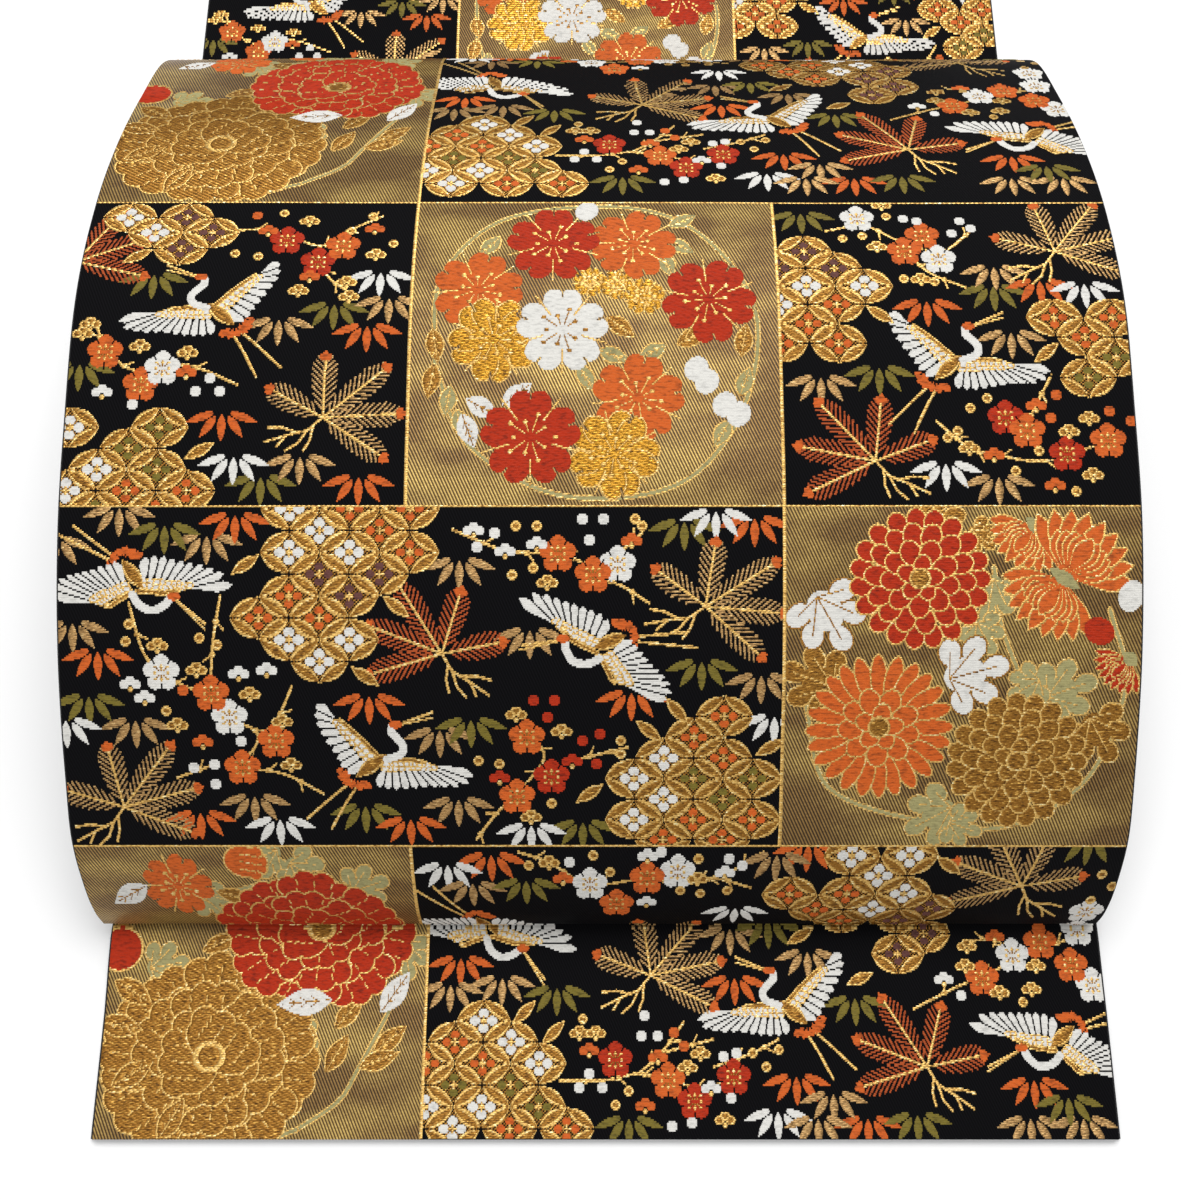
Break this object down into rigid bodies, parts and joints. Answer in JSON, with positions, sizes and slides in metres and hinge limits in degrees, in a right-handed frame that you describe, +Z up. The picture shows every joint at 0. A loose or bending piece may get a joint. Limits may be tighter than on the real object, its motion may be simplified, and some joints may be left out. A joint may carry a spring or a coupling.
{
  "type": "obi sash",
  "caption": "Long flat brocade sash laid on a table with its end shaped into a hollow arched drum, a tail end in front and the rest of its length folded in a stack behind.",
  "frame": {"origin": "on the table, under the middle of the whole sash as it lies", "axes": "+X across the sash, +Y along it from the tail end towards the folded stack, +Z up from the table"},
  "size_m": [0.31, 0.7372, 0.0837],
  "materials": {
    "brocade": "silk brocade with gold thread",
    "back_cloth": "plain black silk twill"
  },
  "bodies": {
    "root": {"tail_face": "brocade", "tail_back": "back_cloth", "drum_face": "brocade", "drum_back": "back_cloth", "strip_face": "brocade", "strip_back": "back_cloth", "folded_length": "brocade"}
  },
  "joints": []
}
